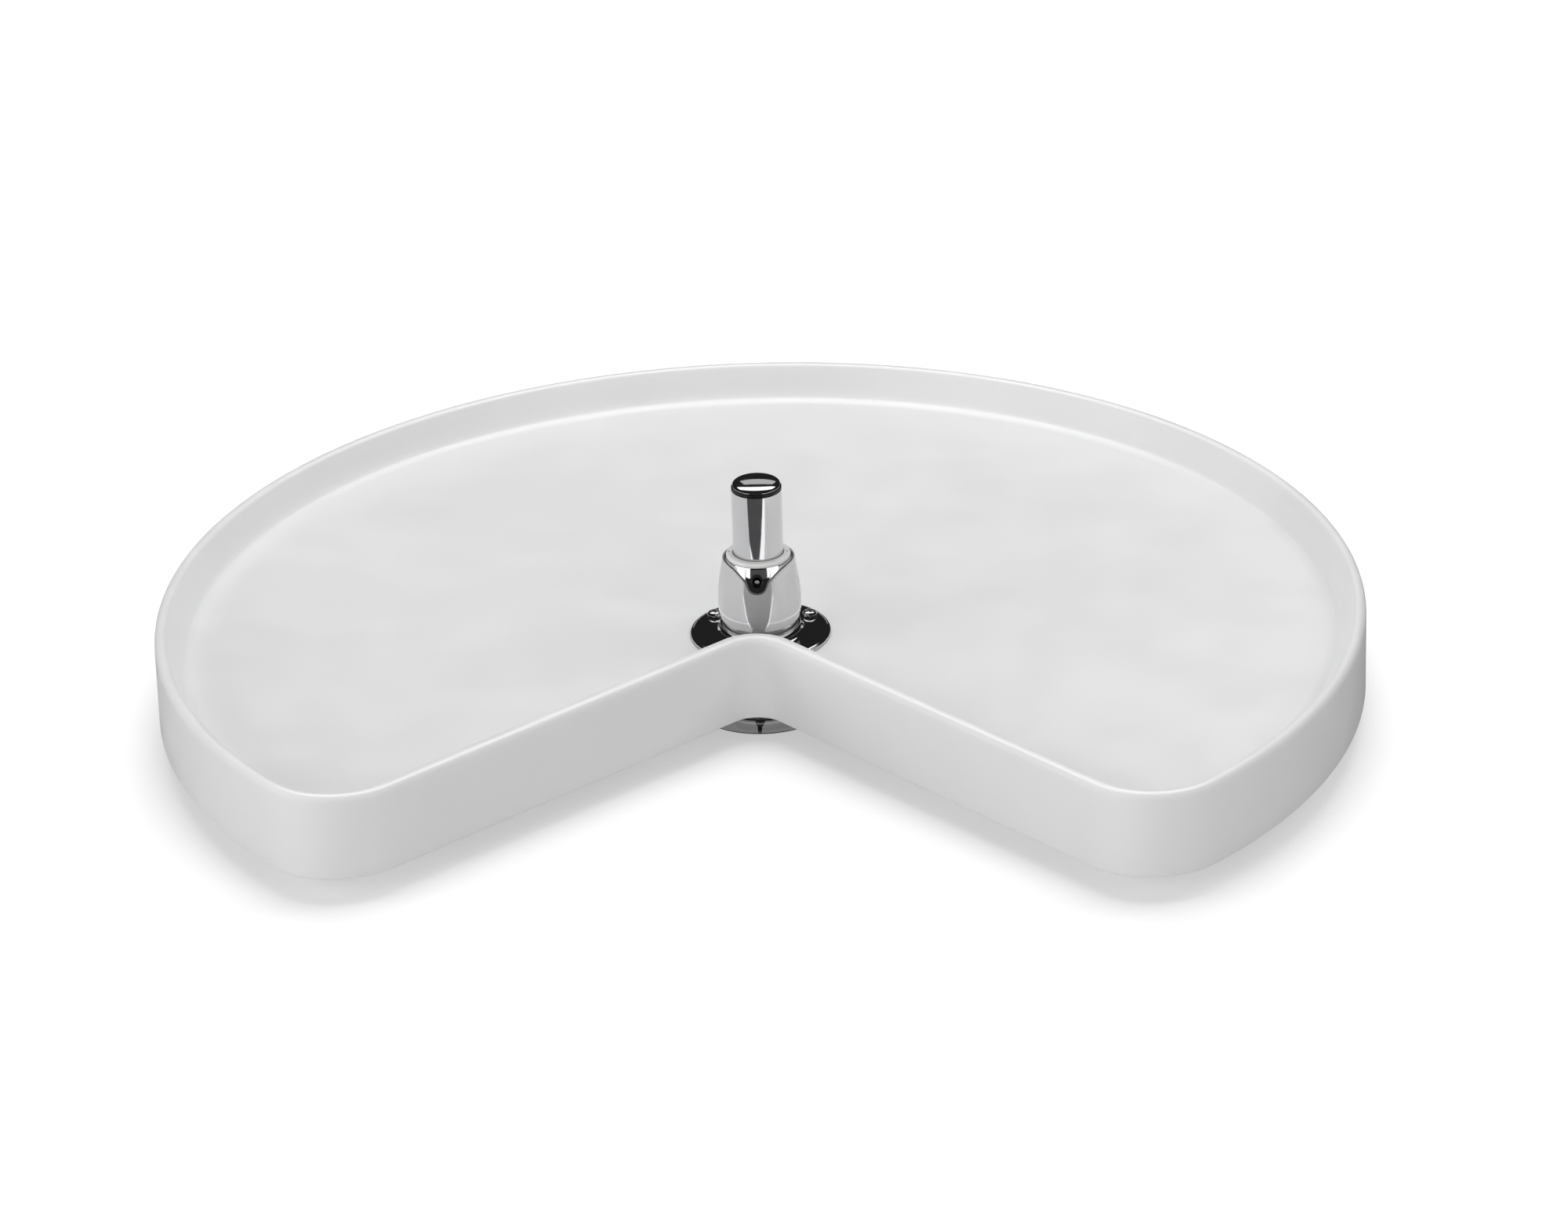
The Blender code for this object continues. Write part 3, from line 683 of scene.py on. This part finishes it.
def make_shroud(material):
    """Bell-shaped cover with thin walls, cut away in a sweep at the front."""
    radius, low, high = span("hub_shroud")
    outer = curve_through(
        ((18.15, high), (18.75, high - 3.4), (19.5, high - 7.8), (20.25, high - 12.6)),
        ((20.25, high - 12.6), (20.8, high - 16.2), (radius, high - 20.0), (radius, high - 24.8)),
        ((radius, high - 24.8), (radius, high - 29.6), (20.2, high - 32.2), (18.4, high - 35.4)),
        ((18.4, high - 35.4), (17.6, high - 36.8), (17.0, high - 37.5), (16.4, low)),
        steps=9,
    )
    inner = [
        (15.0, low + 0.6), (18.2, 51.5), (19.6, 57.0), (19.6, 64.4), (16.7, 65.4), (16.7, 67.8),
        (19.45, 67.8), (19.35, 70.5), (18.45, 77.0), (17.45, high),
    ]
    shroud = turned("shroud", [*outer, *inner], material, 128)
    half = notch_outline()
    edge = half + [(-x, z) for x, z in reversed(half[:-1])]
    outline = [*edge, (-19.0, 95.0), (19.0, 95.0)]
    rings = [[(x * MM, y * MM, z * MM) for x, z in outline] for y in (-30.0, 0.5)]
    combine(shroud, lofted("notch", rings, closed=False))
    soften(shroud, 0.22, 3, 45)
    return stands_for(shroud, "hub_shroud", "hub")


def make_flange(material):
    radius, low, high = span("shelf_flange")
    top = low + 2.0
    bore = span("post_tube")[0] + 0.5
    profile = [
        (18.9, high, 0.2), (20.3, high, 0.5), (20.6, top + 1.6, 0.4), (22.0, top, 2.2), (33.9, top, 0.9),
        (34.4, top - 0.35, 0.5), (radius, top - 0.55, 0.8), (radius, low, 0.3), (bore, low),
        (bore, top + 2.0), (18.7, top + 2.0),
    ]
    flange = turned("flange", profile, material, 160)
    return stands_for(flange, "shelf_flange", "hub")


def make_flange_screws(material):
    """Pan heads with a sunk cross and a small land round it."""
    screws = []
    for i, angle in enumerate(SCREW_ANGLES, 1):
        node = f"flange_screw_{i}"
        low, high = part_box(node)
        head = (high.x - low.x) / 2 / MM
        top = high.z / MM
        bottom = low.z / MM
        profile = [
            (0, top), (1.9, top - 0.1), (2.9, top - 0.5, 0.6), (head, top - 1.5, 0.5),
            (head, top - 2.3, 0.15), (2.0, top - 2.3), (2.0, bottom + 1), (1.2, bottom), (0, bottom),
        ]
        screw = turned(f"pan_screw_{i}", profile, material, 64, closed=False)
        cross_slots(screw, 4.2, 0.95, 2.6, (0, 0, top + 0.1))
        soften(screw, 0.1, 2, 50)
        around_axis(screw, SCREW_PITCH_R, angle, turn=SCREW_CROSS_TURN - angle)
        screws.append(stands_for(screw, node, "hub"))
    return screws


# ---------------------------------------------------------------- foot


def make_foot_disc(material):
    """The fixed disc: a shallow dome whose edge turns in below, with four countersunk screw holes."""
    radius, low, high = span("base_plate")
    profile = [
        (0, high), (26.5, high, 3.0), (31, high - 0.9, 4.0), (34.2, high - 2.1, 2.0),
        (radius, high - 2.9, 0.5), (radius - 0.3, high - 3.6, 0.5), (radius - 3.0, low, 0.5), (0, low),
    ]
    disc = turned("foot_disc", profile, material, 128, closed=False)
    combine(disc, cylinder("stud_seat", 5.3, 1.5, 9, 48))
    for i in range(4):
        sunk = turned("sink", [(0, 7), (7.2, 7), (2.2, 2), (2.2, -1), (0, -1)], None, 32, closed=False)
        combine(disc, around_axis(sunk, 29.5, 45 + 90 * i))
    return stands_for(disc, "base_plate", "base")


def make_balls(material):
    for i in range(1, 13):
        node = f"bearing_ball_{i}"
        low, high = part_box(node)
        grid = bmesh.new()
        bmesh.ops.create_uvsphere(grid, u_segments=32, v_segments=16, radius=(high.z - low.z) / 2)
        bmesh.ops.translate(grid, verts=grid.verts, vec=(low + high) / 2)
        ball = add_object(f"ball_{i}", mesh_of(node, grid), material)
        ball.data.shade_smooth()
        stands_for(ball, node, "cage")


def dress_hidden_nodes(steel, nylon):
    """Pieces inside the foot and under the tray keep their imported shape, shaded smooth."""
    turned_steel = ("lower_race", "pivot_stud", "retaining_clip", "post_foot", "foot_pin", "backing_flange")
    moulded_nylon = ("ball_cage", "pivot_bush", "lower_bush")
    for nodes, material in ((turned_steel, steel), (moulded_nylon, nylon)):
        for node in nodes:
            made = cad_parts[node]
            made.data.materials.clear()
            made.data.materials.append(material)
            made.data.shade_smooth()
            weld = made.modifiers.new("weld", "WELD")
            weld.merge_threshold = WELD_MERGE
            split = made.modifiers.new("split", "EDGE_SPLIT")
            split.split_angle = radians(CRISP)


# ---------------------------------------------------------------- studio


def glow(name, strength, clear=False):
    """An even light-giving surface for the reflectors; a clear one hides nothing behind it."""
    made = bpy.data.materials.new(name)
    made.use_nodes = True
    nodes = made.node_tree.nodes
    links = made.node_tree.links
    nodes.clear()
    out = nodes.new("ShaderNodeOutputMaterial")
    light = nodes.new("ShaderNodeEmission")
    light.inputs["Strength"].default_value = strength
    surface = light.outputs[0]
    if clear:
        both = nodes.new("ShaderNodeAddShader")
        links.new(surface, both.inputs[0])
        links.new(nodes.new("ShaderNodeBsdfTransparent").outputs[0], both.inputs[1])
        surface = both.outputs[0]
    links.new(surface, out.inputs["Surface"])
    return made


def card(name, azimuth, rise, distance, width, height, strength, only):
    """An upright reflector for the given pieces, in metres.

    Azimuth is measured at the post from the front, to the right; rise is the card's middle above the floor.
    """
    grid = bmesh.new()
    bmesh.ops.create_grid(grid, x_segments=1, y_segments=1, size=0.5)
    made = reflector(name, grid, strength, only)
    turn = radians(azimuth)
    way = Vector((sin(turn), -cos(turn), 0))
    made.location = way * distance + Vector((0, 0, rise))
    made.rotation_euler = way.to_track_quat("Z", "Y").to_euler()
    made.scale = (width, height, 1)


def shaped_card(name, points, strength, only=()):
    """A flat reflector for all mirrors or only the given pieces, from its corners in millimetres."""
    grid = bmesh.new()
    grid.faces.new([grid.verts.new(Vector(point) * MM) for point in points])
    reflector(name, grid, strength, only)


def reflector(name, grid, strength, only=()):
    """A glowing surface that only mirrors see and, with light linking, only the given pieces."""
    made = add_object(name, mesh_of(name, grid), glow(f"{name}_glow", strength, bool(only)))
    if only:
        made.light_linking.receiver_collection = bpy.data.collections.new(f"{name}_seen_by")
        for piece in only:
            made.light_linking.receiver_collection.objects.link(piece)
    made.visible_camera = False
    made.visible_diffuse = False
    made.visible_shadow = False
    made.visible_transmission = False
    made.visible_volume_scatter = False
    return made


def area_light(name, place, size, power):
    """A soft square light that mirrors don't show."""
    data = bpy.data.lights.new(name, "AREA")
    data.shape = "SQUARE"
    data.size = size
    data.energy = power
    made = bpy.data.objects.new(name, data)
    bpy.context.scene.collection.objects.link(made)
    made.location = place
    made.rotation_euler = (LIGHT_AIM - Vector(place)).to_track_quat("-Z", "Y").to_euler()
    made.visible_glossy = False
    made.visible_camera = False


def make_world():
    """White for the camera only; soft light and mirrors get almost none, as in a blacked-out studio."""
    world = bpy.data.worlds.new("studio")
    bpy.context.scene.world = world
    world.use_nodes = True
    nodes = world.node_tree.nodes
    links = world.node_tree.links
    background = nodes["Background"]
    background.inputs["Color"].default_value = (1, 1, 1, 1)
    background.inputs["Strength"].default_value = 1.0
    ambient = nodes.new("ShaderNodeBackground")
    ambient.inputs["Color"].default_value = (1, 1, 1, 1)
    ambient.inputs["Strength"].default_value = 0.02
    dark = nodes.new("ShaderNodeBackground")
    dark.inputs["Color"].default_value = (0.018, 0.018, 0.018, 1)
    path = nodes.new("ShaderNodeLightPath")
    first = nodes.new("ShaderNodeMixShader")
    second = nodes.new("ShaderNodeMixShader")
    links.new(path.outputs["Is Camera Ray"], first.inputs[0])
    links.new(ambient.outputs[0], first.inputs[1])
    links.new(background.outputs[0], first.inputs[2])
    links.new(path.outputs["Is Glossy Ray"], second.inputs[0])
    links.new(first.outputs[0], second.inputs[1])
    links.new(dark.outputs[0], second.inputs[2])
    links.new(second.outputs[0], nodes["World Output"].inputs["Surface"])


def ground():
    grid = bmesh.new()
    bmesh.ops.create_grid(grid, x_segments=1, y_segments=1, size=6)
    return grid


def make_floor():
    """The pale floor, and just over it the dark table that mirrors show instead."""
    floor = add_object("floor", mesh_of("floor", ground()), floor_finish())
    floor.location.z = -0.0005
    floor.visible_glossy = False
    reflector("dark_table", ground(), 0.085).location.z = -0.0004


def make_lights():
    """Soft light from all round, strongest from above and behind."""
    area_light("top", (0.0, 0.3, 2.2), 2.0, 28)
    area_light("fill", (1.6, -1.8, 1.1), 1.5, 10)
    area_light("left_low", (-2.2, -0.5, 0.6), 1.2, 16)
    area_light("left_front", (-1.5, -2.0, 1.0), 1.2, 12)
    area_light("front_low", (0.2, -2.6, 0.7), 1.2, 11)
    area_light("back", (0.3, 2.2, 1.3), 1.5, 16)
    area_light("right_high", (2.0, 0.5, 1.7), 1.2, 10)


def level(points, height, side=1):
    """Corners on a level plane, mirrored left to right where side is -1."""
    return [(side * x, y, height) for x, y in points]


def on_shade_panel(points, side):
    """Corners, from (x, z) points, on the upright plane of the painted-shade panel just in front of the hub.
    """
    return [(side * x, SHADE_PANEL_DEPTH, z) for x, z in points]


def round_post(radius, turns):
    """Points at this radius, at these turns in degrees from the front."""
    return [(radius * sin(radians(turn)), -radius * cos(radians(turn))) for turn in turns]


def overhead_cards(tray, cap, screws):
    """Light that the cap's crown, the screws and the tray's rounded edges show."""
    shaped_card("over_box", level(((-2200, 650), (2200, 650), (2200, 2260), (-2200, 2260)), 2600), 1.7)
    card("back_box", 180, 1.12, 1.6, 0.8, 0.50, 0.55, [cap, *screws])
    shaped_card("tray_box", level(((-1300, 0), (1300, 0), (1300, 1500), (-1300, 1500)), 2200), 3.5, [tray])


def tube_reflection_cards(tube):
    """Painted reflection: a bright table that only the tube mirrors through the notch, on both sides of a
    dark wedge.
    """
    wedge = ((-600, -300), (-164, -225), (-58, -209), (18, -214), (74, -262), (600, -700))
    # Painted reflection: a glowing card seen only in the tube, bright on both sides of the notch's dark
    # wedge.
    shaped_card("painted_tube_reflection", level((*wedge, (600, 300), (-600, 300)), 0), 1.15, [tube])


def hub_cards(collar, shroud):
    """A dark panel of painted shade in front of the hub, painted glints beside it and soft boxes beyond."""
    card("left_box", -50, 0.24, 0.20, 0.20, 0.39, 1.5, [collar])
    card("right_box", 48, 0.24, 0.20, 0.14, 0.39, 1.5, [collar])
    panel = ((14.1, 77.5), (13.7, 68.4), (9.9, 56), (7, 44))
    for side in (-1, 1):
        # Painted shade: a dark panel in empty air that the shroud and collar mirror in place of the shaded
        # inner side of the tray's rim.
        shaped_card(f"front_shadow_{side}", on_shade_panel(((0, 77.5), *panel, (0, 44)), side), 0.02)
        beside = [(x + 1.5, z) for x, z in reversed(panel[1:])]
        # Painted glints: bright strips beside the dark panel that only the shroud mirrors.
        shaped_card(f"front_glint_{side}", on_shade_panel((*panel[1:], *beside), side), 0.9, [shroud])
        ring = round_post(20.5, range(12, 181, 12)) + round_post(36, range(180, 11, -12))
        shaped_card(f"neck_light_{side}", level(ring, 44, side), 0.55, [shroud])


def foot_cards(disc):
    """Dim light under the tray, parted by a dark wedge, for the disc's front edge."""
    height = span("base_plate")[2] + 0.8
    half = ((0.4, -45), (45, -45), (45, 5), (14, 5), (4.5, -20), (1.2, -31))
    for side in (-1, 1):
        shaped_card(f"under_light_{side}", level(half, height, side), 0.2, [disc])


def make_camera():
    data = bpy.data.cameras.new("camera")
    data.lens = CAMERA_LENS
    data.sensor_width = 36
    data.clip_start = 0.05
    data.clip_end = 60
    made = bpy.data.objects.new("camera", data)
    bpy.context.scene.collection.objects.link(made)
    turn = Matrix.Rotation(radians(-CAMERA_TURN), 4, "Z")
    tip = Matrix.Rotation(radians(90 - CAMERA_TIP), 4, "X")
    roll = Matrix.Rotation(radians(CAMERA_ROLL), 4, "Z")
    made.matrix_world = Matrix.Translation(CAMERA_PLACE) @ turn @ tip @ roll
    bpy.context.scene.camera = made


def main():
    make_camera()
    bright = chrome()
    steel = zinc_steel()
    nylon = white_nylon()

    tray = make_tray(white_plastic())
    tube = make_tube(bright)
    make_plug(black_plastic())
    cap = make_cap(bright)
    make_bush(nylon)
    collar = make_collar(bright)
    make_clamp_screw(black_oxide())
    shroud = make_shroud(silver_plate())
    make_flange(bright)
    screws = make_flange_screws(bright)
    disc = make_foot_disc(bright)
    make_balls(steel)
    dress_hidden_nodes(steel, nylon)
    make_world()
    make_floor()
    make_lights()
    overhead_cards(tray, cap, screws)
    tube_reflection_cards(tube)
    hub_cards(collar, shroud)
    foot_cards(disc)
    bpy.context.scene.view_settings.view_transform = "Standard"


main()
